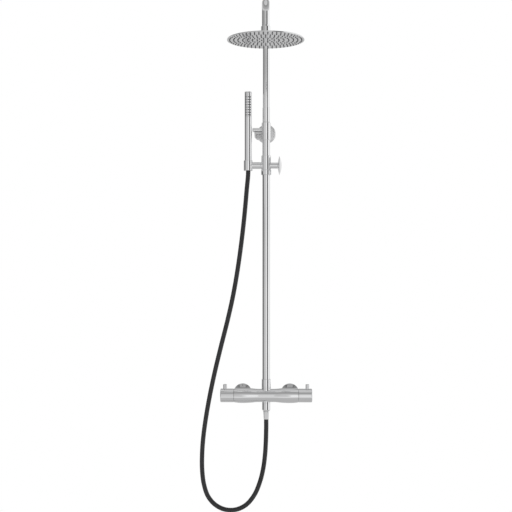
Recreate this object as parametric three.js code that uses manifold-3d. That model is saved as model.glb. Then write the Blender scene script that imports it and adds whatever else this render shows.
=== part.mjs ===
// A rainfall shower column: a thermostatic bar mixer on the wall, a telescopic riser with a swan-neck arm
// and a round overhead rose on a ball joint, and a stick hand shower on a slider with a 1.5 m hose.
//
// Millimetres, +Z up, +X to the right of a person who faces the wall. The wall is the plane Y = 0 and the
// shower stands on its -Y side. The origin is on the wall, midway between the two inlets.

import * as THREE from 'three';
import { mergeVertices } from 'three/addons/utils/BufferGeometryUtils.js';
import Module from 'manifold-3d';

const wasm = await Module();
wasm.setup();

// ---------------------------------------------------------------- driving dimensions

const GAP = 0.3; // between pieces that touch
const AXIS_OUT = 65; // wall to the axis of the mixer bar and of the riser

const INLET_SPACING = 150;
const INLET_BORE = 9;
const BAR_WAIST_R = 20.4;
const BAR_SWELL_R = 23.4; // round each inlet
const BAR_END = 100.7; // half length of the bar's body
const HANDLE_R = 21.2;
const HANDLE_END = 143; // half length over both handles
const PIN_X = 128.5; // the grip pin's place along the bar
const PIN_R = 5.8;
const PIN_TOP = 35;
const CHAMBER_R = 16.5; // bore for a cartridge
const CHAMBER_FLOOR = 56;

const BOSS_TOP = 22; // flats above and below the bar where the riser and the hose outlet start
const COLLAR_R = 14;
const COLLAR_TOP = 51;
const OUTLET_R = 12.8;
const OUTLET_FLOOR = -48.5;
const HOSE_NUT_FLOOR = -74;

const LOWER_TUBE_R = 12;
const LOWER_TUBE_BORE = 10.8;
const LOWER_TUBE_FOOT = 34.3;
const LOWER_TUBE_NECK_R = 11.4;
const LOWER_TUBE_NECK = 852; // where it narrows, just above the wall bracket
const LOWER_TUBE_TOP = 897;
const UPPER_TUBE_R = 10.5;
const UPPER_TUBE_BORE = 9.3;
const UPPER_TUBE_FOOT = 700;

const BRACKET_Z = 823;
const BRACKET_SLEEVE_R = 14;
const BRACKET_SLEEVE_HALF = 27;
const ROSETTE_R = 30;
const STEM_R = 9;

const SLIDER_FLOOR = 688;
const SLIDER_TOP = 748;
const SLIDER_R = 15;
const PIVOT_Z = 717; // axis of the holder's arm and of the lock knob
const ARM_BOSS_R = 10.6;
const ARM_BOSS_END = 18;
const STUB_R = 9.3;
const STUB_END = 36;
const KNOB_R = 28.9;

const HANDSET_X = -56;
const HOLDER_R = 14;
const HOLDER_FLOOR = 701;
const HOLDER_TOP = 733;
const HANDSET_R = 11.3;
const HANDSET_TOP = 947;
const STRIP_FLOOR = 868; // window of the hand shower's nozzle strip
const STRIP_TOP = 936;

const HOSE_R = 7;
const HOSE_STEPS = 44;

const ARM_Z = 1133; // centreline of the level part of the arm
const ARM_BEND = 34;
const ROSE_OUT = 450; // wall to the rose's centre
const ARM_TIP = 1063.5; // where the arm ends, above the rose
const BALL_Z = 1040.5;
const BALL_R = 8.6;
const NUT_R = 13;
const ROSE_R = 105.5;
const ROSE_Z = 1022.5; // the rose's underside

// Sides of a round piece, by its size and by how much of it shows.
const SMALL = 10;
const ROUND = 16;
const FINE = 20;
const WIDE = 32;

// ---------------------------------------------------------------- finishes

const chrome = () => new THREE.MeshStandardMaterial({ color: 0xc9ccce, roughness: 0.12, metalness: 1 });
const satin = () => new THREE.MeshStandardMaterial({ color: 0xb4b7b9, roughness: 0.34, metalness: 1 });
const brass = () => new THREE.MeshStandardMaterial({ color: 0xb08d4f, roughness: 0.4, metalness: 1 });
const steel = () => new THREE.MeshStandardMaterial({ color: 0x8f9396, roughness: 0.35, metalness: 1 });
const rubber = () => new THREE.MeshStandardMaterial({ color: 0x1b1c1d, roughness: 0.55, metalness: 0 });
const silicone = () => new THREE.MeshStandardMaterial({ color: 0x55595c, roughness: 0.6, metalness: 0 });
const plastic = () => new THREE.MeshStandardMaterial({ color: 0x2d2f31, roughness: 0.5, metalness: 0 });

// ---------------------------------------------------------------- shapes

// A three.js geometry as a closed solid: shared corners merged, empty faces dropped, faces turned outwards.
function toSolid(geometry) {
  const bare = geometry.clone();
  bare.deleteAttribute('normal');
  bare.deleteAttribute('uv');
  const merged = mergeVertices(bare);
  const places = merged.getAttribute('position');
  const index = merged.getIndex();
  const [a, b, c] = [new THREE.Vector3(), new THREE.Vector3(), new THREE.Vector3()];
  const faces = [];
  let volume = 0;
  for (let i = 0; i < index.count; i += 3) {
    const face = [index.getX(i), index.getX(i + 1), index.getX(i + 2)];
    if (new Set(face).size === 3) {
      [a, b, c].forEach((corner, k) => corner.fromBufferAttribute(places, face[k]));
      volume += a.dot(b.cross(c));
      faces.push(face);
    }
  }
  const outward = volume > 0 ? faces : faces.map(([p, q, r]) => [p, r, q]);
  return new wasm.Manifold(
    new wasm.Mesh({
      numProp: 3,
      vertProperties: new Float32Array(places.array),
      triVerts: new Uint32Array(outward.flat()),
    }),
  );
}

// The solid back as a three.js geometry.
function toGeometry(solid) {
  const { vertProperties, triVerts } = solid.getMesh();
  const geometry = new THREE.BufferGeometry();
  geometry.setAttribute('position', new THREE.BufferAttribute(new Float32Array(vertProperties), 3));
  geometry.setIndex(new THREE.BufferAttribute(new Uint32Array(triVerts), 1));
  geometry.computeVertexNormals();
  return geometry;
}

const clean = (geometry) => toGeometry(toSolid(geometry));
const join = (first, ...rest) => toGeometry(rest.reduce((all, g) => all.add(toSolid(g)), toSolid(first)));
const cut = (first, ...tools) =>
  toGeometry(tools.reduce((all, g) => all.subtract(toSolid(g)), toSolid(first)));
const common = (first, second) => toGeometry(toSolid(first).intersect(toSolid(second)));

// A turned solid about Z from [radius, height] pairs that start and end on the axis.
function turned(profile, sides = ROUND) {
  const points = profile.map(([r, z]) => new THREE.Vector2(r, z));
  return clean(new THREE.LatheGeometry(points, sides).rotateX(Math.PI / 2));
}

// A turned ring about Z: the same, with a profile that closes on itself.
const ring = (profile, sides = ROUND) => turned([...profile, profile[0]], sides);

const rod = (radius, low, high, sides = ROUND) =>
  turned([[0, low], [radius, low], [radius, high], [0, high]], sides);

const pipe = (radius, bore, low, high, sides = ROUND) =>
  ring([[bore, low], [radius, low], [radius, high], [bore, high]], sides);

function block([x0, y0, z0], [x1, y1, z1]) {
  const box = new THREE.BoxGeometry(x1 - x0, y1 - y0, z1 - z0);
  return clean(box.translate((x0 + x1) / 2, (y0 + y1) / 2, (z0 + z1) / 2));
}

// Turns a shape made about Z so that its +Z end points along the named direction.
const toRight = (geometry) => geometry.rotateY(Math.PI / 2);
const toLeft = (geometry) => geometry.rotateY(-Math.PI / 2);
const toWall = (geometry) => geometry.rotateX(-Math.PI / 2);
const toRoom = (geometry) => geometry.rotateX(Math.PI / 2);

// A path whose stations are spaced as they are given, so that straight stretches need only two.
class StationPath extends THREE.Curve {
  constructor(stations) {
    super();
    this.stations = stations;
  }

  getPoint(t, target = new THREE.Vector3()) {
    const spans = this.stations.length - 1;
    const span = Math.min(Math.floor(t * spans), spans - 1);
    return target.lerpVectors(this.stations[span], this.stations[span + 1], t * spans - span);
  }

  getUtoTmapping(u) {
    return u;
  }
}

// A round section swept along a path: a plain bar, or a pipe where it has a bore.
function swept(path, steps, radius, sides, bore = 0) {
  const section = new THREE.Shape().absarc(0, 0, radius, 0, 2 * Math.PI, false);
  if (bore > 0) {
    section.holes.push(new THREE.Path().absarc(0, 0, bore, 0, 2 * Math.PI, true));
  }
  return clean(new THREE.ExtrudeGeometry(section, { steps, curveSegments: sides / 2, extrudePath: path }));
}

// Points on a quarter bend in the plane X = 0, from one level or upright run into the next.
function bend(centreY, centreZ, from, to, count = 6) {
  return Array.from({ length: count + 1 }, (_, i) => {
    const angle = THREE.MathUtils.degToRad(from + ((to - from) * i) / count);
    return new THREE.Vector3(0, centreY + ARM_BEND * Math.cos(angle), centreZ + ARM_BEND * Math.sin(angle));
  });
}

// ---------------------------------------------------------------- scene graph

const shower = new THREE.Group();
const onAxis = new THREE.Group(); // origin on the mixer bar's axis, at the riser
onAxis.position.set(0, -AXIS_OUT, 0);
shower.add(onAxis);

function piece(parent, name, geometry, material) {
  const mesh = new THREE.Mesh(geometry, material);
  mesh.name = name;
  parent.add(mesh);
}

// ---------------------------------------------------------------- mixer body

// The bar's outline swells smoothly from its waist to each inlet and draws in again at the seam.
function barOutline() {
  const half = new THREE.SplineCurve([
    new THREE.Vector2(BAR_WAIST_R, 0),
    new THREE.Vector2(BAR_WAIST_R, 24),
    new THREE.Vector2(22.4, 48),
    new THREE.Vector2(BAR_SWELL_R, INLET_SPACING / 2),
    new THREE.Vector2(HANDLE_R, BAR_END),
  ]);
  const right = half.getPoints(7).map((p) => [p.x, p.y]);
  const left = right.slice(1).reverse().map(([r, x]) => [r, -x]);
  return [[0, -BAR_END], ...left, ...right, [0, BAR_END]];
}

function mixerBody() {
  const inletEnd = AXIS_OUT - 37.5;
  const inlets = [-INLET_SPACING / 2, INLET_SPACING / 2];
  return cut(
    join(
      toRight(turned(barOutline(), FINE)),
      rod(COLLAR_R, 0, BOSS_TOP),
      rod(OUTLET_R, -BOSS_TOP, 0),
      ...inlets.map((x) => toWall(rod(15, 0, inletEnd)).translate(x, 0, 0)),
    ),
    toRight(rod(CHAMBER_R, CHAMBER_FLOOR, BAR_END + 1)),
    toLeft(rod(CHAMBER_R, CHAMBER_FLOOR, BAR_END + 1)),
    toRight(rod(7, -CHAMBER_FLOOR - 1, CHAMBER_FLOOR + 1, ROUND)),
    rod(INLET_BORE, -BOSS_TOP - 1, BOSS_TOP + 1, ROUND),
    ...inlets.map((x) => toWall(rod(INLET_BORE, 0, inletEnd + 1, ROUND)).translate(x, 0, 0)),
  );
}

piece(onAxis, 'mixer_body', mixerBody(), chrome());

// ---------------------------------------------------------------- cartridges and handles

function handle() {
  return turned([
    [0, 120],
    [4.3, 120],
    [4.3, 106],
    [9, 106],
    [9, 136],
    [16, 136],
    [16, BAR_END + 0.5],
    [HANDLE_R, BAR_END + 0.5],
    [HANDLE_R, HANDLE_END - 3.2],
    [HANDLE_R - 1, HANDLE_END - 1],
    [HANDLE_R - 3, HANDLE_END],
    [0, HANDLE_END],
  ], FINE);
}

// The radial hole in a handle for its pin: a seat for the pin's head and a narrower one for its stud.
const pinHole = () => [rod(PIN_R + GAP, 19, HANDLE_R + 2, ROUND), rod(3, 12, 20, SMALL)];

const pin = () =>
  turned([[0, 16.5], [2.7, 16.5], [2.7, 19.3], [PIN_R, 19.3], [PIN_R, PIN_TOP - 1.2], [PIN_R - 1.1, PIN_TOP],
    [0, PIN_TOP]], ROUND);

// One end of the mixer. turn points a shape's +Z end outwards along the bar.
function mixerEnd(turn, side, handleName, cartridgeName, spindleName, nutName) {
  const cartridge = turned([
    [0, CHAMBER_FLOOR + 2],
    [10, CHAMBER_FLOOR + 2],
    [10, CHAMBER_FLOOR + 6],
    [15.2, CHAMBER_FLOOR + 6],
    [15.2, 91],
    [9, 91],
    [9, 97],
    [5.3, 97],
    [5.3, 80],
    [0, 80],
  ]);
  const spindle = turned([[0, 80.3], [5, 80.3], [5, 104], [4, 104], [4, 118], [0, 118]], SMALL);
  const holes = pinHole().map((hole) => hole.translate(side * PIN_X, 0, 0));
  piece(onAxis, cartridgeName, turn(cartridge), plastic());
  piece(onAxis, nutName, turn(pipe(16.2, 9.3, 91.3, 99.7)), brass());
  piece(onAxis, spindleName, turn(spindle), brass());
  piece(onAxis, handleName, cut(turn(handle()), ...holes), chrome());
  piece(onAxis, `${handleName}_pin`, pin().translate(side * PIN_X, 0, 0), chrome());
}

mixerEnd(toLeft, -1, 'temperature_handle', 'thermostat_cartridge', 'thermostat_spindle', 'thermostat_nut');
mixerEnd(toRight, 1, 'flow_handle', 'diverter_cartridge', 'diverter_spindle', 'diverter_nut');

// ---------------------------------------------------------------- wall inlets

// In an inlet's own frame +Z runs out from the wall.
function inlet(side, name) {
  const frame = new THREE.Group();
  frame.position.x = (side * INLET_SPACING) / 2;
  frame.rotation.x = Math.PI / 2;
  shower.add(frame);
  const flange = ring([
    [29, 0],
    [29, 1.6],
    [26.4, 4],
    [22.4, 7.4],
    [18.8, 12.6],
    [16.8, 20],
    [16.4, 24],
    [14.2, 24],
    [14.8, 19],
    [16.9, 11.4],
    [20.6, 5.6],
    [24.4, 2.4],
    [26.6, 0],
  ], FINE);
  const union = ring([[7, -18], [10.4, -18], [10.4, 0], [12.8, 0], [12.8, 34.9], [7, 34.9]], ROUND);
  const nut = cut(turned([[0, 24.6], [18, 24.6], [19.4, 26], [19.4, 39.6], [18, 41.2], [0, 41.2]], 6),
    rod(13.2, 24, 35, ROUND), rod(15.3, 34.8, 42, ROUND));
  piece(frame, `wall_flange_${name}`, flange, chrome());
  piece(frame, `wall_union_${name}`, union, brass());
  piece(frame, `inlet_nut_${name}`, nut, chrome());
  piece(frame, `inlet_filter_${name}`, pipe(12.8, 6, 35.2, 37.2, ROUND), rubber());
  piece(frame, `check_valve_${name}`, pipe(8.7, 5, 37.8, 47.5, ROUND), plastic());
}

inlet(-1, 'left');
inlet(1, 'right');

// ---------------------------------------------------------------- riser base and hose outlet

piece(onAxis, 'column_nipple', pipe(8.7, 6, 12, 33.5, ROUND), brass());

piece(onAxis, 'column_base_nut', ring([
  [COLLAR_R, BOSS_TOP + GAP],
  [COLLAR_R, COLLAR_TOP - 1],
  [COLLAR_R - 0.6, COLLAR_TOP],
  [LOWER_TUBE_R + GAP, COLLAR_TOP],
  [LOWER_TUBE_R + GAP, LOWER_TUBE_FOOT - GAP],
  [INLET_BORE, LOWER_TUBE_FOOT - GAP],
  [INLET_BORE, BOSS_TOP + GAP],
]), chrome());

piece(onAxis, 'hose_outlet_nipple', ring([
  [6, -10],
  [8.7, -10],
  [8.7, -BOSS_TOP - GAP],
  [OUTLET_R, -BOSS_TOP - GAP],
  [OUTLET_R, -44],
  [9.6, OUTLET_FLOOR],
  [6, OUTLET_FLOOR],
]), chrome());

piece(onAxis, 'hose_mixer_nut', ring([
  [7.4, OUTLET_FLOOR - GAP],
  [9.3, OUTLET_FLOOR - GAP],
  [9.3, OUTLET_FLOOR - 3],
  [7.8, HOSE_NUT_FLOOR + 1],
  [7.3, HOSE_NUT_FLOOR],
  [5, HOSE_NUT_FLOOR],
  [5, -56],
  [7.4, -56],
]), chrome());

piece(onAxis, 'hose_mixer_washer', pipe(7.1, 4.5, -51.2, -49.2, SMALL), rubber());

// ---------------------------------------------------------------- riser tubes

const setScrewZ = LOWER_TUBE_TOP - 14;
const lowerTube = ring([
  [LOWER_TUBE_BORE, LOWER_TUBE_FOOT],
  [LOWER_TUBE_R, LOWER_TUBE_FOOT],
  [LOWER_TUBE_R, LOWER_TUBE_NECK],
  [LOWER_TUBE_NECK_R, LOWER_TUBE_NECK + 0.8],
  [LOWER_TUBE_NECK_R, LOWER_TUBE_TOP - 0.4],
  [LOWER_TUBE_NECK_R - 0.2, LOWER_TUBE_TOP],
  [LOWER_TUBE_BORE, LOWER_TUBE_TOP],
]);
piece(onAxis, 'column_lower_tube', cut(lowerTube, toWall(rod(2.6, 5, 16, SMALL)).translate(0, 0, setScrewZ)),
  chrome());
piece(onAxis, 'telescope_set_screw',
  toWall(rod(2.3, LOWER_TUBE_BORE, LOWER_TUBE_NECK_R + 1.4, SMALL)).translate(0, 0, setScrewZ), steel());

const toRose = ROSE_OUT - AXIS_OUT;
const riserPath = [
  new THREE.Vector3(0, 0, UPPER_TUBE_FOOT),
  ...bend(-ARM_BEND, ARM_Z - ARM_BEND, 0, 90),
  ...bend(ARM_BEND - toRose, ARM_Z - ARM_BEND, 90, 180),
  new THREE.Vector3(0, -toRose, ARM_TIP),
];
piece(onAxis, 'column_upper_tube',
  swept(new StationPath(riserPath), riserPath.length - 1, UPPER_TUBE_R, 24, UPPER_TUBE_BORE), chrome());

piece(onAxis, 'telescope_guide', ring([
  [6, 686],
  [UPPER_TUBE_R, 686],
  [UPPER_TUBE_R, 690],
  [9.4, 690],
  [9.4, 694],
  [UPPER_TUBE_R, 694],
  [UPPER_TUBE_R, UPPER_TUBE_FOOT - GAP],
  [6, UPPER_TUBE_FOOT - GAP],
]), plastic());

piece(onAxis, 'telescope_o_ring', ring([
  [9.7, 691.2],
  [10.3, 690.6],
  [10.7, 691.4],
  [10.7, 692.6],
  [10.3, 693.4],
  [9.7, 692.8],
], ROUND), rubber());

// ---------------------------------------------------------------- wall bracket

const bracket = new THREE.Group(); // +Z runs out from the wall, +Y is up
bracket.position.z = BRACKET_Z;
bracket.rotation.x = Math.PI / 2;
shower.add(bracket);

const countersunk = (x, room) =>
  turned([[0, -1 - room], [2.2 + room, -1 - room], [2.2 + room, 2.6 - room], [4.6 + room, 5], [4.6 + room, 6],
    [0, 6]], SMALL).translate(x, 0, 0);

piece(bracket, 'bracket_wall_plate', cut(
  join(rod(21, 0, 5), rod(4, 4, 18, SMALL)),
  countersunk(-13, GAP),
  countersunk(13, GAP),
), steel());

function wallScrew(name, x) {
  const screw = turned([[0, -22], [0.6, -22], [2.1, -18], [2.1, 2.7], [4.4, 5], [0, 5]], SMALL);
  piece(bracket, name, screw.translate(x, 0, 0), steel());
}
wallScrew('bracket_wall_screw_left', -13);
wallScrew('bracket_wall_screw_right', 13);

piece(bracket, 'bracket_rosette', ring([
  [ROSETTE_R, 0],
  [ROSETTE_R, 5],
  [28.8, 7.4],
  [26, 8.8],
  [STEM_R + GAP, 10],
  [STEM_R + GAP, 8],
  [25.6, 7],
  [27.4, 6],
  [28.2, 4.6],
  [28.2, 0],
], FINE), chrome());

// Sleeve and stem are one casting. The stem slides over the wall plate's stud.
piece(bracket, 'bracket_arm', cut(
  join(
    toWall(ring([
      [0.5, -BRACKET_SLEEVE_HALF],
      [BRACKET_SLEEVE_R - 0.6, -BRACKET_SLEEVE_HALF],
      [BRACKET_SLEEVE_R, 0.6 - BRACKET_SLEEVE_HALF],
      [BRACKET_SLEEVE_R, BRACKET_SLEEVE_HALF - 0.6],
      [BRACKET_SLEEVE_R - 0.6, BRACKET_SLEEVE_HALF],
      [0.5, BRACKET_SLEEVE_HALF],
    ])).translate(0, 0, AXIS_OUT),
    rod(STEM_R, 5 + GAP, AXIS_OUT),
  ),
  toWall(rod(LOWER_TUBE_R + GAP, -40, 40)).translate(0, 0, AXIS_OUT),
  rod(4.3, 4, 19, SMALL),
  toRoom(rod(2.3, 2, 12, SMALL)).translate(0, 0, 13),
), chrome());
piece(bracket, 'bracket_set_screw', toRoom(rod(2, 4.3, 8.8, SMALL)).translate(0, 0, 13), steel());

// A stop beside the sleeve: a round peg over a small housing with a recess, both on one short arm.
function sideHousing() {
  const outline = new THREE.Shape([
    new THREE.Vector2(-STEM_R - GAP, 2.2),
    new THREE.Vector2(-37.5, 2.2),
    new THREE.Vector2(-36.5, -13),
    new THREE.Vector2(-31, -19.5),
    new THREE.Vector2(-24, -21.5),
    new THREE.Vector2(-STEM_R - GAP, -21.5),
  ]);
  const housing = clean(new THREE.ExtrudeGeometry(outline, { depth: 16, bevelEnabled: false }));
  return cut(housing.translate(0, 0, 22), block([-32, -16.5, 31], [-15, -4, 40]));
}
piece(bracket, 'bracket_side_housing', cut(sideHousing(), toWall(rod(LOWER_TUBE_R + 2, -60, 60))
  .translate(0, 0, AXIS_OUT), rod(STEM_R + GAP, 0, 60)), chrome());
piece(bracket, 'bracket_side_peg', cut(
  toLeft(turned([[0, 9.5], [6.6, 9.5], [6.6, 40], [5.6, 42.2], [3.4, 43.4], [0, 43.6]], ROUND))
    .translate(0, 9.2, 30),
  rod(STEM_R + GAP, 0, 60),
), chrome());

// ---------------------------------------------------------------- slider on the riser

const slider = new THREE.Group(); // origin where the holder's axis crosses the riser's
slider.position.z = PIVOT_Z;
onAxis.add(slider);

const sleeveLow = SLIDER_FLOOR - PIVOT_Z;
const sleeveHigh = SLIDER_TOP - PIVOT_Z;
const BUSH_R = 13;

piece(slider, 'slider_sleeve', cut(
  join(
    turned([
      [0, sleeveLow],
      [SLIDER_R + 0.1, sleeveLow],
      [SLIDER_R + 0.8, sleeveLow + 0.8],
      [SLIDER_R + 0.8, sleeveLow + 14],
      [SLIDER_R, sleeveLow + 15],
      [SLIDER_R, sleeveHigh - 0.8],
      [SLIDER_R - 0.8, sleeveHigh],
      [0, sleeveHigh],
    ], FINE),
    toLeft(rod(ARM_BOSS_R, 0, ARM_BOSS_END)),
    toLeft(rod(6, 0, 29.7, ROUND)),
    toRight(rod(STUB_R, 0, STUB_END)),
  ),
  rod(BUSH_R + GAP, sleeveLow - 1, sleeveHigh + 1, FINE),
  toRight(rod(5.4, 5, STUB_END + 1, ROUND)),
  toLeft(rod(2.7, 20.5, 31, SMALL)),
), chrome());

piece(slider, 'slider_bush', cut(
  pipe(BUSH_R, LOWER_TUBE_R + GAP, sleeveLow + 0.5, sleeveHigh - 0.5, FINE),
  toRight(rod(4.6, 5, 20, SMALL)),
), plastic());
piece(slider, 'slider_pressure_pad', toRight(rod(4.2, LOWER_TUBE_R + GAP, 14.5, SMALL)), plastic());
piece(slider, 'holder_pivot_screw',
  toLeft(turned([[0, 21], [2.4, 21], [2.4, 34.3], [4.6, 34.3], [4.6, 38], [0, 38]], SMALL)), steel());

piece(slider, 'slider_lock_screw', toRight(rod(5, 14.8, 40.7, SMALL)), steel());
piece(slider, 'slider_lock_knob', toRight(turned([
  [0, 41],
  [5.3, 41],
  [5.3, STUB_END + GAP],
  [9.6, STUB_END + GAP],
  [19, 38.2],
  [KNOB_R - 0.7, 40.4],
  [KNOB_R, 41],
  [KNOB_R - 0.6, 41.7],
  [23, 44],
  [16, 46.2],
  [8, 47.6],
  [0, 48],
], FINE)), chrome());

// ---------------------------------------------------------------- hand shower holder

// The holder turns on the slider's spigot. Its ring has a tapered bore, open towards the wall for the hose.
piece(slider, 'handset_holder', cut(
  join(
    rod(HOLDER_R, HOLDER_FLOOR - PIVOT_Z, HOLDER_TOP - PIVOT_Z).translate(HANDSET_X, 0, 0),
    toLeft(rod(ARM_BOSS_R - 0.1, ARM_BOSS_END + GAP, -HANDSET_X - 4)),
  ),
  turned([[0, -20], [9.6, -20], [11.6, 14], [11.6, 20], [0, 20]]).translate(HANDSET_X, 0, 0),
  block([HANDSET_X - 7.5, 0, -20], [HANDSET_X + 7.5, HOLDER_R + 1, 20]),
  toLeft(rod(6.3, ARM_BOSS_END, 30, ROUND)),
  toLeft(rod(2.7, 29, 36, SMALL)),
  toLeft(rod(5, 34, -HANDSET_X - 4, SMALL)),
), chrome());

// ---------------------------------------------------------------- hand shower

const handset = new THREE.Group(); // on the hand shower's axis
handset.position.x = HANDSET_X;
onAxis.add(handset);

const HANDSET_FOOT = 731.6;
const HANDSET_BORE = 8.4;
const HANDSET_SHOULDER = HANDSET_TOP - 3.7;
const STRIP_HALF = 7.6;

piece(handset, 'hose_cone_nut', ring([
  [7.7, 702.6],
  [9.3, 702.6],
  [11.1, HANDSET_FOOT - GAP],
  [8.4, HANDSET_FOOT - GAP],
  [8.4, 716],
  [7.7, 716],
]), chrome());
piece(handset, 'handset_washer', pipe(7.2, 4.5, 713.2, 715.2, SMALL), rubber());
piece(handset, 'handset_connector', pipe(8.1, 5, 716.3, 934, ROUND), brass());
piece(handset, 'handset_body', cut(
  pipe(HANDSET_R, HANDSET_BORE, HANDSET_FOOT, HANDSET_SHOULDER, FINE),
  block([-STRIP_HALF, -HANDSET_R - 1, STRIP_FLOOR], [STRIP_HALF, 0, STRIP_TOP]),
), chrome());
piece(handset, 'handset_nozzle_strip', common(
  pipe(HANDSET_R, HANDSET_BORE + 0.2, STRIP_FLOOR - 5, STRIP_TOP + 5, FINE),
  block([GAP - STRIP_HALF, -HANDSET_R - 1, STRIP_FLOOR + GAP], [STRIP_HALF - GAP, -1, STRIP_TOP - GAP]),
), chrome());
piece(handset, 'handset_end_cap', turned([
  [0, STRIP_TOP + 1],
  [HANDSET_BORE - GAP, STRIP_TOP + 1],
  [HANDSET_BORE - GAP, HANDSET_SHOULDER + GAP],
  [HANDSET_R, HANDSET_SHOULDER + GAP],
  [HANDSET_R, HANDSET_TOP - 1],
  [HANDSET_R - 1, HANDSET_TOP],
  [0, HANDSET_TOP],
], FINE), chrome());

// ---------------------------------------------------------------- hose

// Its centreline from the nut under the mixer, down, round the loop, and up into the nut in the holder.
// The long leg bows forward of the mixer, so that it clears the handle as the slider comes down.
const hoseRoute = [
  [0, -65, -74.3],
  [0, -65, -100],
  [-1, -66, -140],
  [-3.5, -68, -182],
  [-8.5, -72, -222],
  [-18, -77, -262],
  [-36, -82, -305],
  [-62, -85, -336],
  [-95, -87, -351],
  [-128, -88, -350],
  [-158, -89, -335],
  [-180, -90, -309],
  [-193, -91, -270],
  [-198.2, -92, -225],
  [-198, -94, -175],
  [-194.3, -96, -125],
  [-185.8, -99, -63],
  [-172.3, -103, 12],
  [-156, -106, 87],
  [-138, -108, 161],
  [-119, -109, 236],
  [-102.2, -109, 311],
  [-89.1, -109, 385],
  [-78.3, -109, 460],
  [-70, -105, 530],
  [-64, -92, 595],
  [-60.2, -75, 645],
  [-57.2, -66.5, 678],
  [-56, -65, 700],
  [-56, -65, 713],
].map(([x, y, z]) => new THREE.Vector3(x, y, z));
piece(shower, 'hose', swept(new THREE.CatmullRomCurve3(hoseRoute), HOSE_STEPS, HOSE_R, 8), rubber());

// ---------------------------------------------------------------- overhead rose and its ball joint

const rose = new THREE.Group(); // on the rose's upright axis
rose.position.y = -toRose;
onAxis.add(rose);

// A circle arc about the ball's centre as [radius, height] pairs; angles are from straight up.
function ballArc(radius, from, to, count) {
  return Array.from({ length: count + 1 }, (_, i) => {
    const angle = THREE.MathUtils.degToRad(from + ((to - from) * i) / count);
    return [radius * Math.sin(angle), BALL_Z + radius * Math.cos(angle)];
  });
}

piece(rose, 'arm_end_fitting', ring([
  [5.6, ARM_TIP - 12.6],
  [9.6, ARM_TIP - 12.6],
  [9.6, ARM_TIP - 3],
  [UPPER_TUBE_R, ARM_TIP - 3],
  [UPPER_TUBE_R, ARM_TIP - GAP],
  [UPPER_TUBE_BORE - GAP, ARM_TIP - GAP],
  [UPPER_TUBE_BORE - GAP, ARM_TIP + 6],
  [5.6, ARM_TIP + 6],
], ROUND), chrome());

piece(rose, 'rose_union_nut', ring([
  [9.9, ARM_TIP - 3.3],
  [NUT_R - 0.8, ARM_TIP - 3.3],
  [NUT_R, ARM_TIP - 4.2],
  [NUT_R, BALL_Z - 4.1],
  [NUT_R - 0.9, BALL_Z - 5],
  [7.5, BALL_Z - 5],
  [8.5, BALL_Z - 3.5],
  [9.3, BALL_Z - 1.5],
  [9.9, BALL_Z],
], FINE), chrome());

const seal = ring([...ballArc(8.9, 34, 66, 5), ...ballArc(9.5, 66, 34, 5)], ROUND);
piece(rose, 'ball_seal_ring', seal, rubber());

const NECK_R = 4.6;
const STUD_BORE = 2.5;
const neckAngle = 180 - THREE.MathUtils.radToDeg(Math.asin(NECK_R / BALL_R));
const crownAngle = THREE.MathUtils.radToDeg(Math.asin(STUD_BORE / BALL_R));
piece(rose, 'rose_ball_stud', ring([
  [STUD_BORE, ROSE_Z + 3.3],
  [7.5, ROSE_Z + 3.3],
  [7.5, ROSE_Z + 9.8],
  [NECK_R, ROSE_Z + 9.8],
  ...ballArc(BALL_R, neckAngle, crownAngle, 9),
], ROUND), chrome());

piece(rose, 'rose_top_shell', ring([
  [ROSE_R, ROSE_Z],
  [ROSE_R, ROSE_Z + 2.2],
  [ROSE_R - 0.8, ROSE_Z + 3],
  [80, ROSE_Z + 5.6],
  [50, ROSE_Z + 7.8],
  [22, ROSE_Z + 9.2],
  [13, ROSE_Z + 9.6],
  [7.8, ROSE_Z + 9.6],
  [7.8, ROSE_Z + 4.6],
  [13, ROSE_Z + 4.6],
  [13.6, ROSE_Z + 7.6],
  [50, ROSE_Z + 6.2],
  [80, ROSE_Z + 4],
  [103.4, ROSE_Z + 1.7],
  [103.4, ROSE_Z],
], WIDE), chrome());

piece(rose, 'rose_nozzle_plate', rod(103.1, ROSE_Z, ROSE_Z + 1.2, WIDE), satin());
piece(rose, 'rose_nozzle_mat', rod(88, ROSE_Z + 1.5, ROSE_Z + 2.2, FINE), silicone());

export default shower;
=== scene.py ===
# Looks of the rainfall shower column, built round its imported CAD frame.
# The helpers take millimetres, and make() turns a finished mesh into metres.

import math

import bpy
import numpy as np
from mathutils import Matrix, Vector


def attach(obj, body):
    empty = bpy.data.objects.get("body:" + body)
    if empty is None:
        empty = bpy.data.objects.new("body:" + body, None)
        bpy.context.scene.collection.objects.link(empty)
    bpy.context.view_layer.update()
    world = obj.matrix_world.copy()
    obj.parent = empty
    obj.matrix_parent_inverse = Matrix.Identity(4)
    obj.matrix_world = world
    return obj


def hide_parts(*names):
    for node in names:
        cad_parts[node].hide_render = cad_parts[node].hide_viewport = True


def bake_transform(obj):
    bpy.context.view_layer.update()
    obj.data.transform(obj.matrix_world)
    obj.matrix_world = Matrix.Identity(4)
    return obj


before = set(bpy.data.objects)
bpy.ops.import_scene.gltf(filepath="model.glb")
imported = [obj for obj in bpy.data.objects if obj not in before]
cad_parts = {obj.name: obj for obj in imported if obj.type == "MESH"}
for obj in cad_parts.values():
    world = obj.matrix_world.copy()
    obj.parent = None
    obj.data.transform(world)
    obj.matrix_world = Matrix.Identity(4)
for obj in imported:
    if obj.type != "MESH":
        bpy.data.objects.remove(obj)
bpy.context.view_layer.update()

# ---------------------------------------------------------------- sizes shared with the CAD model

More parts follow.
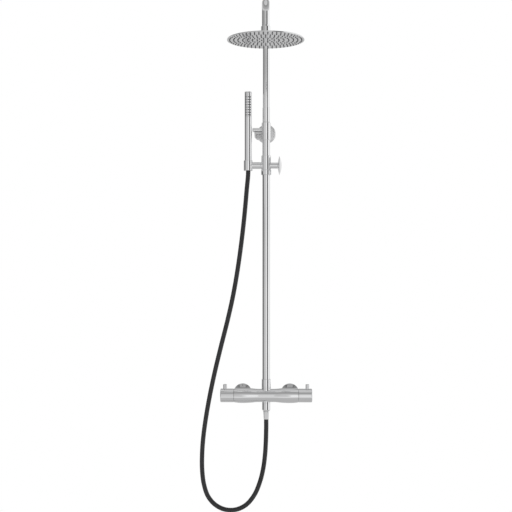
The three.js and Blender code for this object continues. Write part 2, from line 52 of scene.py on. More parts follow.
AXIS_OUT = 65.0  # riser, bar and slider in front of the wall
INLET_X = 75.0
BRACKET_Z = 823.0
PIVOT_Z = 717.0
HANDSET_X = -56.0
ARM_Z = 1133.0
ARM_BEND = 34.0
ARM_TIP = 1063.5
ROSE_OUT = 450.0
ROSE_Z = 1022.5
ROSE_R = 105.5
BALL_Z = 1040.5
BALL_R = 8.6
BAR_END = 100.7
BAR_STEPS = 81
HANDLE_R = 21.2
HANDLE_END = 143.0
PIN_X = 128.5
LOWER_TUBE_R, LOWER_TUBE_BORE, LOWER_TUBE_NECK_R = 12.0, 10.8, 11.4
UPPER_TUBE_R, UPPER_TUBE_BORE = 10.5, 9.3
BRACKET_SLEEVE_R = 14.0
SLIDER_R = 15.0
HOLDER_R = 14.0
HANDSET_R = 11.3
STRIP_LOW, STRIP_HIGH, STRIP_HALF = 868.0, 936.0, 7.6  # the slot for the nozzle strip
STRIP_R, STRIP_BORE, STRIP_GAP = 11.1, 8.8, 0.3
HOSE_R = 7.0

ON_AXIS = (0, -AXIS_OUT, 0)
ON_BRACKET = (0, 0, BRACKET_Z)
ON_SLEEVE = (0, -AXIS_OUT, BRACKET_Z)
ON_PIVOT = (0, -AXIS_OUT, PIVOT_Z)
ON_HOLDER = (HANDSET_X, -AXIS_OUT, PIVOT_Z)
ON_HANDSET = (HANDSET_X, -AXIS_OUT, 0)
ON_ROSE = (0, -ROSE_OUT, 0)
UP, DOWN = Vector((0, 0, 1)), Vector((0, 0, -1))
RIGHT, LEFT = Vector((1, 0, 0)), Vector((-1, 0, 0))
ROOM, WALL = Vector((0, -1, 0)), Vector((0, 1, 0))

# ---------------------------------------------------------------- camera

# Level, halfway up the column and turned a little to the left: fitted to the photo.
camera_data = bpy.data.cameras.new("camera")
camera_data.lens = 68.4
camera_data.sensor_width = 36.0
camera = bpy.data.objects.new("camera", camera_data)
camera.location = (0.010, -3.1, 0.435)
camera.rotation_euler = (math.radians(90), 0, math.radians(0.79))
bpy.context.scene.collection.objects.link(camera)
bpy.context.scene.camera = camera

# ---------------------------------------------------------------- shapes

SHARP_EDGE = math.radians(34)
SHARP_CUT_EDGE = math.radians(30)
BEVELLED_EDGE = math.radians(40)
ON_THE_AXIS = 1e-6
CORNER_STEPS = 5
CORNER_SHARE = 0.48  # of a profile's side, at most, for the rounding of one corner
CORNER_RUN = 0.04  # a short straight run on both sides of a corner, which keeps its shading clean
SADDLE_STEPS = 9
SADDLE_SINK = 0.02  # how far a boss's foot lies inside the bar
FILLET_RUN = 0.3  # from the fillet's top to the boss's first profile point
PIPE_SIDES = 72


def make(name, points, faces, material, place=Matrix.Identity(4)):
    """A mesh object from points in millimetres, with its faces turned outwards."""
    mesh = bpy.data.meshes.new(name)
    mesh.from_pydata([tuple(p) for p in points], [], faces)
    mesh.transform(place)
    mesh.transform(Matrix.Scale(0.001, 4))
    mesh.update()
    volume = 0.0
    for face in mesh.polygons:
        corners = [mesh.vertices[i].co for i in face.vertices]
        for second, third in zip(corners[1:], corners[2:]):
            volume += corners[0].dot(second.cross(third))
    if volume < 0:
        mesh.flip_normals()
    mesh.polygons.foreach_set("use_smooth", [True] * len(mesh.polygons))
    mesh.set_sharp_from_angle(angle=SHARP_EDGE)
    mesh.materials.append(material)
    made = bpy.data.objects.new(name, mesh)
    bpy.context.scene.collection.objects.link(made)
    return made


def join(first, *others):
    """Several objects as one, under the first one's name."""
    with bpy.context.temp_override(active_object=first, selected_editable_objects=[first, *others]):
        bpy.ops.object.join()
    return first


def aim(direction, origin=(0, 0, 0)):
    """The matrix that turns a shape made about Z so that +Z points along direction, from origin."""
    z = Vector(direction).normalized()
    x = Vector((1, 0, 0)) if abs(z.x) < 0.5 else Vector((0, 1, 0))
    y = z.cross(x).normalized()
    x = y.cross(z)
    turn = Matrix((x, y, z)).transposed().to_4x4()
    return Matrix.Translation(Vector(origin)) @ turn


def eased(points, closed=False, steps=CORNER_STEPS):
    """A profile with its corners rounded: a third number on a point is its radius."""
    out = []
    count = len(points)
    for i, point in enumerate(points):
        here = Vector(point[:2])
        if len(point) < 3 or (not closed and i in (0, count - 1)):
            out.append(here)
            continue
        to_last = Vector(points[i - 1][:2]) - here
        to_next = Vector(points[(i + 1) % count][:2]) - here
        half = to_last.angle(to_next) / 2
        longest = CORNER_SHARE * min(to_last.length, to_next.length)
        reach = min(point[2] / math.tan(half), longest)
        u, v = to_last.normalized(), to_next.normalized()
        radius = reach * math.tan(half)
        centre = here + (u + v).normalized() * radius / math.sin(half)
        start, end = u * reach + here - centre, v * reach + here - centre
        sweep = start.angle(end)
        out.append(centre + start + u * CORNER_RUN)
        for k in range(steps + 1):
            a = math.sin((1 - k / steps) * sweep) / math.sin(sweep)
            b = math.sin(k / steps * sweep) / math.sin(sweep)
            out.append(centre + start * a + end * b)
        out.append(centre + end + v * CORNER_RUN)
    return out


def circle(radius, height, segments):
    """A ring of points about Z, or one point on the axis."""
    if radius < ON_THE_AXIS:
        return [(0, 0, height)]
    angles = [2 * math.pi * k / segments for k in range(segments)]
    return [(radius * math.cos(a), radius * math.sin(a), height) for a in angles]


def skinned(rings, segments, closed=False):
    """The points of the rings in one list, and the faces between each ring and the next."""
    points, rows = [], []
    for ring in rings:
        rows.append([len(points) + (k if len(ring) > 1 else 0) for k in range(segments)])
        points.extend(ring)
    pairs = list(zip(rows, rows[1:])) + ([(rows[-1], rows[0])] if closed else [])
    faces = []
    for low, high in pairs:
        for k in range(segments):
            n = (k + 1) % segments
            face = [low[k], low[n], high[n], high[k]]
            face = [v for i, v in enumerate(face) if v not in face[:i]]
            if len(face) > 2:
                faces.append(face)
    return points, faces


def spin(profile, closed, segments):
    """Points and faces of a profile of [radius, height] turned about Z."""
    return skinned([circle(radius, height, segments) for radius, height in profile], segments, closed)


def lathe(name, profile, material, origin=ON_AXIS, direction=UP, closed=False, segments=96):
    """A turned solid from a profile of (radius, height) or (radius, height, rounding)."""
    points, faces = spin(eased(profile, closed), closed, segments)
    return make(name, points, faces, material, aim(direction, origin))


def tube(name, profile, material, **where):
    """A turned ring: its profile closes on itself."""
    return lathe(name, profile, material, closed=True, **where)


def saddle(name, host, profile, fillet, material, origin, direction, across, segments=96):
    """A round boss that grows out of a round bar with a fillet. host gives the bar's radius at a
    place along it, across is the bar's direction, and profile runs outwards from the fillet."""
    z, x = Vector(direction), Vector(across)
    turn = Matrix((x, z.cross(x), z)).transposed().to_4x4()
    arm = profile[0][0]

    def fillet_point(angle, t):
        c, s = math.cos(angle), math.sin(angle)

        def on_bar(reach):
            radius = host(reach * c) - SADDLE_SINK
            return math.sqrt(max(radius**2 - (reach * s) ** 2, 0.01))

        foot = Vector((arm + fillet, on_bar(arm + fillet)))
        corner = Vector((arm, on_bar(arm)))
        top = Vector((arm, on_bar(arm) + fillet))
        at = foot * (1 - t) ** 2 + corner * 2 * t * (1 - t) + top * t * t
        return at.x * c, at.x * s, at.y

    angles = [2 * math.pi * k / segments for k in range(segments)]
    rings = [[fillet_point(a, k / SADDLE_STEPS) for a in angles] for k in range(SADDLE_STEPS + 1)]
    for radius, height in eased([(arm, host(0) + fillet + FILLET_RUN), *profile]):
        rings.append(circle(radius, height, segments))
    points, faces = skinned(rings, segments)
    return make(name, points, faces, material, Matrix.Translation(Vector(origin)) @ turn)


def swept_rings(path, radius, sides):
    """Rings of points round a path, kept from twisting, and the faces between them."""
    path = [Vector(p) for p in path]
    tangents = []
    for i in range(len(path)):
        ahead, behind = path[min(i + 1, len(path) - 1)], path[max(i - 1, 0)]
        tangents.append((ahead - behind).normalized())
    side = Vector((1, 0, 0)) if abs(tangents[0].x) < 0.8 else Vector((0, 1, 0))
    points = []
    for centre, tangent in zip(path, tangents):
        side = (side - tangent * side.dot(tangent)).normalized()
        other = tangent.cross(side)
        for k in range(sides):
            angle = 2 * math.pi * k / sides
            points.append(centre + (side * math.cos(angle) + other * math.sin(angle)) * radius)
    faces = []
    for i in range(len(path) - 1):
        for k in range(sides):
            n = (k + 1) % sides
            a, b = i * sides, (i + 1) * sides
            faces.append([a + k, a + n, b + n, b + k])
    return points, faces


def sweep(name, path, radius, material, sides, caps):
    """A round bar along a path."""
    points, faces = swept_rings(path, radius, sides)
    if caps:
        faces.append(list(range(sides))[::-1])
        faces.append(list(range(len(points) - sides, len(points))))
    return make(name, points, faces, material)


def hollow_sweep(name, path, radius, bore, material):
    """A pipe along a path, open at both ends."""
    outer, outer_faces = swept_rings(path, radius, PIPE_SIDES)
    inner, inner_faces = swept_rings(path, bore, PIPE_SIDES)
    count = len(outer)
    faces = outer_faces + [[v + count for v in face[::-1]] for face in inner_faces]
    last = count - PIPE_SIDES
    for k in range(PIPE_SIDES):
        n = (k + 1) % PIPE_SIDES
        faces.append([k, count + k, count + n, n])
        faces.append([last + k, last + n, count + last + n, count + last + k])
    return make(name, outer + inner, faces, material)


def slab(name, outline, low, high, material, place):
    """An outline of [x, y] raised from low to high."""
    points = [(x, y, z) for z in (low, high) for x, y in outline]
    n = len(outline)
    faces = [list(range(n))[::-1], list(range(n, 2 * n))]
    faces += [[i, (i + 1) % n, n + (i + 1) % n, n + i] for i in range(n)]
    return make(name, points, faces, material, place)


def apply(made):
    """The object's modifiers, made real."""
    graph = bpy.context.evaluated_depsgraph_get()
    done = bpy.data.meshes.new_from_object(made.evaluated_get(graph))
    made.modifiers.clear()
    made.data = done
    return made


def bevel(made, width):
    """Rounds the object's edges."""
    modifier = made.modifiers.new("bevel", "BEVEL")
    modifier.width = width / 1000
    modifier.segments = 2
    modifier.limit_method = "ANGLE"
    modifier.angle_limit = BEVELLED_EDGE
    modifier.harden_normals = True
    return apply(made)


def carve(made, *tools, ease):
    """Cuts the tools out of the object, removes them and rounds the edges."""
    for tool in tools:
        modifier = made.modifiers.new("cut", "BOOLEAN")
        modifier.operation = "DIFFERENCE"
        modifier.solver = "EXACT"
        modifier.object = tool
    bpy.context.view_layer.update()
    apply(made)
    for tool in tools:
        bpy.data.objects.remove(tool)
    made.data.polygons.foreach_set("use_smooth", [True] * len(made.data.polygons))
    made.data.set_sharp_from_angle(angle=SHARP_CUT_EDGE)
    return bevel(made, ease)


def cuboid(name, low, high, material):
    """A box between two corners."""
    (x0, y0, z0), (x1, y1, z1) = low, high
    points = [(x, y, z) for x in (x0, x1) for y in (y0, y1) for z in (z0, z1)]
    faces = [[0, 1, 3, 2], [4, 6, 7, 5], [0, 4, 5, 1], [2, 3, 7, 6], [0, 2, 6, 4], [1, 5, 7, 3]]
    return make(name, points, faces, material)


# ---------------------------------------------------------------- materials


class Shader:
    """A material's node tree with the few nodes that these finishes use."""

    def __init__(self, name, metallic, roughness, colour):
        self.material = bpy.data.materials.new(name)
        self.material.use_nodes = True
        self.tree = self.material.node_tree
        self.bsdf = self.tree.nodes["Principled BSDF"]
        self.bsdf.inputs["Metallic"].default_value = metallic
        self.bsdf.inputs["Roughness"].default_value = roughness
        self.bsdf.inputs["Base Color"].default_value = (*colour, 1)
        self.place = self.tree.nodes.new("ShaderNodeTexCoord").outputs["Object"]

    def link(self, out, into):
        self.tree.links.new(out, into)

    def stretched(self, scale):
        """Object coordinates with a scale per axis."""
        node = self.tree.nodes.new("ShaderNodeMapping")
        node.inputs["Scale"].default_value = scale
        self.link(self.place, node.inputs["Vector"])
        return node.outputs["Vector"]

    def noise(self, scale, detail=3.0, vector=None, distortion=0.0):
        node = self.tree.nodes.new("ShaderNodeTexNoise")
        node.inputs["Scale"].default_value = scale
        node.inputs["Detail"].default_value = detail
        node.inputs["Distortion"].default_value = distortion
        self.link(vector or self.place, node.inputs["Vector"])
        return node.outputs["Fac"]

    def ramp(self, value, low, high, to_low, to_high):
        """The value, taken from the range low to high into the range to_low to to_high."""
        node = self.tree.nodes.new("ShaderNodeMapRange")
        node.inputs["From Min"].default_value = low
        node.inputs["From Max"].default_value = high
        node.inputs["To Min"].default_value = to_low
        node.inputs["To Max"].default_value = to_high
        self.link(value, node.inputs["Value"])
        return node.outputs["Result"]

    def colours(self, value, first, second):
        """Base colour between two colours."""
        node = self.tree.nodes.new("ShaderNodeMix")
        node.data_type = "RGBA"
        node.inputs[6].default_value = (*first, 1)
        node.inputs[7].default_value = (*second, 1)
        self.link(value, node.inputs[0])
        self.link(node.outputs[2], self.bsdf.inputs["Base Color"])

    def roughness(self, value):
        self.link(value, self.bsdf.inputs["Roughness"])

    def bump(self, value, strength, distance):
        """Relief on top of what there is already."""
        node = self.tree.nodes.new("ShaderNodeBump")
        node.inputs["Strength"].default_value = strength
        node.inputs["Distance"].default_value = distance
        self.link(value, node.inputs["Height"])
        before = self.bsdf.inputs["Normal"].links
        if before:
            self.link(before[0].from_socket, node.inputs["Normal"])
        self.link(node.outputs["Normal"], self.bsdf.inputs["Normal"])


def chrome_finish(name, low=0.03, high=0.10, bright=0.90):
    """Plated chrome: clear reflections, faint water marks and wiping lines."""
    s = Shader(name, 1.0, 0.06, (bright, bright, bright))
    marks = s.noise(38, 4, distortion=0.6)
    s.roughness(s.ramp(marks, 0.38, 0.68, low, high))
    s.colours(s.ramp(s.noise(9, 2), 0.3, 0.7, 0, 1), (bright, bright, bright * 1.005),
              (bright * 0.95, bright * 0.955, bright * 0.965))
    s.bump(s.noise(14, 1), 0.03, 0.0006)
    s.bump(s.noise(1500, 2), 0.012, 0.00004)
    return s.material


def satin_finish(name, fineness, bright, low, high, relief):
    """Satin metal: an even fine grain, with the sheen varying a little from place to place."""
    s = Shader(name, 1.0, 0.26, (bright, bright, bright))
    grain = s.noise(1, 3, s.stretched((fineness, fineness, fineness)))
    s.roughness(s.ramp(grain, 0.3, 0.7, low, high))
    s.colours(s.ramp(s.noise(16, 3), 0.3, 0.7, 0, 1), (bright, bright, bright * 1.005),
              (bright * 0.93, bright * 0.935, bright * 0.945))
    s.bump(grain, relief, 0.00003)
    return s.material


def moulded_finish(name, first, second, low, high, grain, depth):
    """Rubber, silicone or plastic: fine grain, slightly uneven sheen."""
    s = Shader(name, 0.0, low, first)
    s.colours(s.ramp(s.noise(55, 3), 0.35, 0.65, 0, 1), first, second)
    s.roughness(s.ramp(s.noise(120, 3), 0.35, 0.65, low, high))
    s.bump(s.noise(grain, 2), 0.25, depth)
    return s.material


def brass_finish(name):
    """Machined brass with turning lines and a little tarnish."""
    s = Shader(name, 1.0, 0.3, (0.69, 0.52, 0.27))
    s.colours(s.ramp(s.noise(90, 4), 0.35, 0.7, 0, 1), (0.74, 0.56, 0.29), (0.52, 0.37, 0.18))
    s.roughness(s.ramp(s.noise(240, 3), 0.3, 0.7, 0.2, 0.42))
    s.bump(s.noise(1, 2, s.stretched((40, 40, 2600))), 0.2, 0.00004)
    return s.material


chrome = chrome_finish("polished_chrome")
tube_chrome = chrome_finish("riser_chrome", 0.03, 0.08, 0.90)
mixer_chrome = chrome_finish("mixer_chrome", 0.03, 0.07, 0.89)
# A darker copy of the chrome for the wall flanges: painted shade, standing for the dark reflection of the
# bar's shaded back.
flange_chrome_painted_shade = chrome_finish("flange_chrome_painted_shade", 0.05, 0.11, 0.58)
satin_chrome = satin_finish("satin_chrome", 1400, 0.88, 0.42, 0.47, 0.02)
# A darker copy of the satin finish for the side housing: painted shade.
housing_chrome_painted_shade = satin_finish("housing_chrome_painted_shade", 1400, 0.78, 0.40, 0.45, 0.02)
# A lighter copy of the satin finish for the side peg: painted light.
peg_chrome_painted_light = satin_finish("peg_chrome_painted_light", 1400, 0.93, 0.24, 0.29, 0.02)
face = satin_finish("rose_face", 500, 0.84, 0.06, 0.13, 0.10)
steel = satin_finish("machined_steel", 900, 0.62, 0.28, 0.42, 0.10)
brass = brass_finish("machined_brass")
hose_black = moulded_finish(
    "black_hose", (0.016, 0.016, 0.017), (0.024, 0.024, 0.026), 0.36, 0.46, 2400, 0.00005)
rubber = moulded_finish(
    "black_rubber", (0.018, 0.018, 0.018), (0.03, 0.03, 0.03), 0.5, 0.65, 1800, 0.00008)
silicone = moulded_finish(
    "nozzle_silicone", (0.035, 0.036, 0.038), (0.055, 0.056, 0.06), 0.42, 0.55, 2200, 0.00006)
grey_silicone = moulded_finish(
    "grey_silicone", (0.12, 0.12, 0.125), (0.16, 0.16, 0.166), 0.42, 0.55, 2200, 0.00006)
plastic = moulded_finish(
    "black_plastic", (0.04, 0.04, 0.042), (0.06, 0.06, 0.064), 0.4, 0.55, 1200, 0.0001)

# CAD nodes that stay as they are: inside, or true to shape.
KEPT = {
    brass: ["thermostat_nut", "diverter_nut", "thermostat_spindle", "diverter_spindle", "wall_union_left",
            "wall_union_right", "column_nipple", "handset_connector"],
    steel: ["telescope_set_screw", "bracket_wall_plate", "bracket_wall_screw_left",
            "bracket_wall_screw_right", "bracket_set_screw", "holder_pivot_screw", "slider_lock_screw"],
    rubber: ["inlet_filter_left", "inlet_filter_right", "hose_mixer_washer", "telescope_o_ring",
             "handset_washer", "ball_seal_ring"],
    silicone: ["rose_nozzle_mat"],
    plastic: ["thermostat_cartridge", "diverter_cartridge", "check_valve_left", "check_valve_right",
              "telescope_guide", "slider_pressure_pad"],
    chrome: ["inlet_nut_left", "inlet_nut_right", "arm_end_fitting"],
}
for material, names in KEPT.items():
    for node in names:
        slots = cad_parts[node].data.materials
        slots.clear()
        slots.append(material)


def settle(made, body, slot, *nodes):
    """The piece rides on its body and stands for its CAD nodes; the slot is not used."""
    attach(made, body)
    if nodes:
        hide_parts(*nodes)
    return made


# ---------------------------------------------------------------- hose

HOSE_ROUTE = [
    (0, -65, -74.3), (0, -65, -100), (-1, -66, -140), (-3.5, -68, -182), (-8.5, -72, -222),
    (-18, -77, -262), (-36, -82, -305), (-62, -85, -336), (-95, -87, -351), (-128, -88, -350),
    (-158, -89, -335), (-180, -90, -309), (-193, -91, -270), (-198.2, -92, -225), (-198, -94, -175),
    (-194.3, -96, -125), (-185.8, -99, -63), (-172.3, -103, 12), (-156, -106, 87), (-138, -108, 161),
    (-119, -109, 236), (-102.2, -109, 311), (-89.1, -109, 385), (-78.3, -109, 460), (-70, -105, 530),
    (-64, -92, 595), (-60.2, -75, 645), (-57.2, -66.5, 678), (-56, -65, 700), (-56, -65, 713),
]
ROUTE_STEPS = 24
ROUTE_PITCH = 5.0
SPARE_STEPS = 6  # above the route's end, so that the hose stays in its nut when the hand shower is lifted
HOSE_SIDES = 32
LEG_END_Z, LOOP_END_Z, TOP_START_Z = -165, -175, 580


def smooth_route(points):
    """A centripetal Catmull-Rom curve through the points."""
    points = [Vector(p) for p in points]
    points = [points[0] * 2 - points[1], *points, points[-1] * 2 - points[-2]]
    route = []
    for p0, p1, p2, p3 in zip(points, points[1:], points[2:], points[3:]):
        t0 = 0.0
        t1 = t0 + (p1 - p0).length ** 0.5
        t2 = t1 + (p2 - p1).length ** 0.5
        t3 = t2 + (p3 - p2).length ** 0.5
        for k in range(ROUTE_STEPS):
            t = t1 + (t2 - t1) * k / ROUTE_STEPS
            a = p0 * ((t1 - t) / (t1 - t0)) + p1 * ((t - t0) / (t1 - t0))
            b = p1 * ((t2 - t) / (t2 - t1)) + p2 * ((t - t1) / (t2 - t1))
            c = p2 * ((t3 - t) / (t3 - t2)) + p3 * ((t - t2) / (t3 - t2))
            d = a * ((t2 - t) / (t2 - t0)) + b * ((t - t0) / (t2 - t0))
            e = b * ((t3 - t) / (t3 - t1)) + c * ((t - t1) / (t3 - t1))
            route.append(d * ((t2 - t) / (t2 - t1)) + e * ((t - t1) / (t2 - t1)))
    route.append(points[-2])
    return route


def evenly(route):
    """The same route with its points about one pitch apart."""
    route = [Vector(p) for p in route]
    lengths = [0.0]
    for a, b in zip(route, route[1:]):
        lengths.append(lengths[-1] + (b - a).length)
    count = max(2, round(lengths[-1] / ROUTE_PITCH))
    wanted = np.linspace(0, lengths[-1], count + 1)
    columns = [np.interp(wanted, lengths, [p[i] for p in route]) for i in range(3)]
    return [Vector(p) for p in zip(*columns)]


fine_route = smooth_route(HOSE_ROUTE)
lowest = min(range(len(fine_route)), key=lambda i: fine_route[i].z)
first_cut = next(i for i, p in enumerate(fine_route) if p.z <= LEG_END_Z)
second_cut = next(i for i, p in enumerate(fine_route) if i > lowest and p.z >= LOOP_END_Z)
third_cut = next(i for i, p in enumerate(fine_route) if i > lowest and p.z >= TOP_START_Z)
# Name, route, two bodies, and a start and an end in metres; only the start is read, and only to tell the
# loop apart.
SECTIONS = [
    ("hose_outlet_leg", fine_route[: first_cut + 1], "mixer", "slider", -0.09, -0.24),
    ("hose_loop", fine_route[first_cut : second_cut + 1], "mixer", "slider", None, None),
    ("hose_long_leg", fine_route[second_cut : third_cut + 1], "mixer", "slider", -0.93, 0.58),
    ("hose_top", fine_route[third_cut:], "slider", "holder", 0.585, 0.705),
]
hose = {}
for name, route, first, second, start, end in SECTIONS:
    route = evenly(route)
    if name == "hose_top":
        route += [route[-1] + UP * ROUTE_PITCH * k for k in range(1, SPARE_STEPS + 1)]
    outer_piece = name in ("hose_outlet_leg", "hose_top")
    made = sweep(name, route, HOSE_R, hose_black, sides=HOSE_SIDES, caps=outer_piece)
    if start is None:  # both ways bake the piece in place
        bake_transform(made)
    else:
        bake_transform(made)
    hose[name] = (made, [p / 1000 for p in route])
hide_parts("hose")

mixer_nut = settle(tube("mixer_hose_nut", [
    (7.25, -48.8), (9.3, -48.8, 0.3), (9.35, -51.6, 0.4), (8.9, -52.4, 0.3), (7.9, -72.6, 0.3),
    (7.6, -74, 0.4), (7.05, -74), (7.05, -58)], chrome), "mixer", "chrome", "hose_mixer_nut")
cone_nut = settle(tube("handset_cone_nut", [
    (7.6, 702.6), (9.3, 702.6, 0.5), (11.1, 731.3, 0.3), (8.4, 731.3), (8.4, 716), (7.6, 716)],
    chrome, origin=ON_HANDSET), "handset", "chrome", "hose_cone_nut")

for name, far_end, pieces in (
    ("hose_outlet_leg", "object", [mixer_nut, "hose_mixer_washer"]),
    ("hose_loop", "object", []),
    ("hose_long_leg", "object", []),
    ("hose_top", "fitting", [cone_nut]),
):
    made, path = hose[name]

# ---------------------------------------------------------------- mixer

# Half of the bar's outline as place, radius and slope: narrow in the middle, full round each inlet.
BAR_OUTLINE = [
    (0, 20.4, 0.0), (24, 20.4, 0.0), (48, 22.4, 0.07), (INLET_X, 23.4, 0.0), (BAR_END, HANDLE_R, -0.16)]


def bar_radius(x):
    """The bar's radius at a place along it, on a smooth curve through the outline."""
    xs, rs, ms = zip(*BAR_OUTLINE)
    x = min(abs(x), xs[-1])
    i = max(k for k in range(len(xs) - 1) if xs[k] <= x)
    h = xs[i + 1] - xs[i]
    t = (x - xs[i]) / h
    return (
        (2 * t**3 - 3 * t**2 + 1) * rs[i] + (t**3 - 2 * t**2 + t) * h * ms[i]
        + (3 * t**2 - 2 * t**3) * rs[i + 1] + (t**3 - t**2) * h * ms[i + 1]
    )


outline = [(bar_radius(x), x) for x in np.linspace(-BAR_END + 0.5, BAR_END - 0.5, BAR_STEPS)]
bar = lathe("mixer_bar", [
    (0, -BAR_END), (20.4, -BAR_END), (20.9, -BAR_END + 0.12), *outline,
    (20.9, BAR_END - 0.12), (20.4, BAR_END), (0, BAR_END)], mixer_chrome, direction=RIGHT, segments=144)
collar = saddle(
    "mixer_collar", bar_radius, [(14, 22, 0.4), (0, 22)], 1.0, mixer_chrome, ON_AXIS, UP, RIGHT)
outlet = saddle(
    "mixer_outlet", bar_radius, [(12.8, 22, 0.4), (0, 22)], 1.0, mixer_chrome, ON_AXIS, DOWN, RIGHT)
settle(join(bar, collar, outlet), "mixer", "chrome", "mixer_body")
for side, name in ((-INLET_X, "left"), (INLET_X, "right")):
    inlet = saddle(
        f"mixer_inlet_{name}", lambda x, c=side: bar_radius(c + x), [(15, 27.5, 0.5), (9, 27.5), (9, 20)],
        3.0, mixer_chrome, (side, -AXIS_OUT, 0), WALL, RIGHT)
    settle(inlet, "mixer", "chrome")
    flange = tube(f"flange_{name}", [
        (29, 0), (29, 1.6, 0.8), (26.4, 4, 3), (22.4, 7.4, 8), (18.8, 12.6, 10), (16.8, 20, 8),
        (16.4, 24, 0.4), (14.2, 24), (14.8, 19), (16.9, 11.4), (20.6, 5.6), (24.4, 2.4), (26.6, 0)],
        flange_chrome_painted_shade, origin=(side, 0, 0), direction=ROOM, segments=128)
    settle(flange, "mixer", "chrome", f"wall_flange_{name}")

for direction, name in ((LEFT, "temperature_handle"), (RIGHT, "flow_handle")):
    grip = lathe(f"{name}_grip", [
        (9, 106), (9, 136), (16, 136), (16, BAR_END + 0.5), (HANDLE_R, BAR_END + 0.5, 0.5),
        (HANDLE_R, HANDLE_END, 2.4), (15.2, HANDLE_END), (14.9, HANDLE_END - 0.5, 0.2),
        (14.5, HANDLE_END - 0.1, 0.3), (0, HANDLE_END)], mixer_chrome, direction=direction, segments=128)
    settle(grip, name, "chrome", name)
    at = (direction.x * PIN_X, -AXIS_OUT, 0)
    pin = saddle(
        f"{name}_peg", lambda x: HANDLE_R, [(5.8, 35, 1.4), (0, 35)], 1.2, chrome, at, UP, RIGHT,
        segments=64)
    settle(pin, name, "chrome", f"{name}_pin")

base = tube("riser_base_nut", [
    (14, 22.3, 0.3), (14, 27.4, 0.3), (13.6, 27.8), (14, 28.2, 0.3), (14, 51, 0.8), (12.3, 51), (12.3, 34),
    (9, 34), (9, 22.3)], chrome)
settle(base, "mixer", "chrome", "column_base_nut")
nipple = tube("outlet_nipple", [
    (6, -10), (8.7, -10), (8.7, -22.3), (12.8, -22.3, 0.3), (12.8, -44, 0.8), (9.6, -48.5, 0.3),
    (6, -48.5)], chrome)
settle(nipple, "mixer", "chrome", "hose_outlet_nipple")

# ---------------------------------------------------------------- riser

lower = tube("riser_lower_tube", [
    (LOWER_TUBE_BORE, 34.3), (LOWER_TUBE_R, 34.3), (LOWER_TUBE_R, 851.6, 0.4),
    (LOWER_TUBE_NECK_R, 852.8, 0.4), (LOWER_TUBE_NECK_R, 897, 0.2), (LOWER_TUBE_BORE, 897)], tube_chrome)
settle(lower, "mixer", "chrome", "column_lower_tube")

BEND_STEPS = 28


def quarter(centre_y, from_angle):
    """A quarter turn of the arm's middle line, from an angle in degrees."""
    centre = Vector((0, centre_y, ARM_Z - ARM_BEND))
    for k in range(BEND_STEPS + 1):
        angle = math.radians(from_angle + 90 * k / BEND_STEPS)
        yield centre + Vector((0, ARM_BEND * math.cos(angle), ARM_BEND * math.sin(angle)))


# The tube starts deep in the lower one, which it slides in.
arm_path = [
    Vector((0, -AXIS_OUT, 700)), Vector((0, -AXIS_OUT, 1080)), *quarter(-AXIS_OUT - ARM_BEND, 0),
    *quarter(ARM_BEND - ROSE_OUT, 90), Vector((0, -ROSE_OUT, ARM_TIP))]
upper = hollow_sweep("riser_upper_tube", arm_path, UPPER_TUBE_R, UPPER_TUBE_BORE, tube_chrome)
settle(upper, "riser_arm", "chrome", "column_upper_tube")

# ---------------------------------------------------------------- wall bracket

rosette = tube("rosette", [
    (30, 0), (30, 5, 2.0), (26, 8.8, 8), (9.3, 10, 0.2), (9.3, 8), (25.6, 7), (27.4, 6), (28.2, 4.6),
    (28.2, 0)], satin_chrome, origin=ON_BRACKET, direction=ROOM, segments=128)
settle(rosette, "mixer", "chrome", "bracket_rosette")
sleeve = tube("bracket_sleeve", [
    (12.3, -27), (BRACKET_SLEEVE_R, -27, 0.7), (BRACKET_SLEEVE_R, 27, 0.7), (12.3, 27)],
    chrome, origin=ON_SLEEVE)
stem = saddle(
    "bracket_stem", lambda x: BRACKET_SLEEVE_R, [(9, 59.5), (0, 59.5)], 3.0, chrome, ON_SLEEVE, WALL, UP)
settle(join(sleeve, stem), "mixer", "chrome", "bracket_arm")

housing_place = Matrix.Translation(Vector(ON_BRACKET)) @ Matrix.Rotation(math.radians(90), 4, "X")
housing = slab("side_housing", [
    (-6, 2.2), (-37.5, 2.2), (-36.5, -13), (-31, -19.5), (-24, -21.5), (-6, -21.5)], 22, 38, housing_chrome_painted_shade,
    housing_place)
recess = cuboid("recess", (-32, -40.5, BRACKET_Z - 16.5), (-15, -26, BRACKET_Z - 4), housing_chrome_painted_shade)
keep_clear = tube(
    "keep_clear", [(0.01, -60), (14.3, -60), (14.3, 60), (0.01, 60)], chrome, origin=ON_SLEEVE)
carve(housing, recess, keep_clear, ease=1.2)
settle(housing, "mixer", "chrome", "bracket_side_housing")
peg = lathe("side_peg", [(0, 8), (6.6, 8), (6.6, 43.6, 2.6), (0, 43.6)], peg_chrome_painted_light,
            origin=(0, -30, BRACKET_Z + 9.2), direction=LEFT, segments=72)
settle(peg, "mixer", "chrome", "bracket_side_peg")

# ---------------------------------------------------------------- slider

body = tube("slider_body", [
    (13.3, 688), (15.9, 688, 0.8), (15.9, 702.4, 0.6), (SLIDER_R, 703.2, 0.6), (SLIDER_R, 748, 0.8),
    (13.3, 748)], chrome)
left_arm = saddle(
    "slider_arm", lambda x: SLIDER_R, [(10.6, 18, 0.5), (6, 18), (6, 29.7), (0, 29.7)], 0.8, chrome,
    ON_PIVOT, LEFT, UP)
stub = saddle(
    "slider_stub", lambda x: SLIDER_R, [(9.3, 36, 0.5), (5.4, 36), (5.4, 30)], 0.8, chrome,
    ON_PIVOT, RIGHT, UP)
settle(join(body, left_arm, stub), "slider", "chrome", "slider_sleeve")
bush = tube("slider_bush_ring", [(12.3, 688.4), (13, 688.4), (13, 747.6), (12.3, 747.6)], plastic)
settle(bush, "slider", "plastic", "slider_bush")

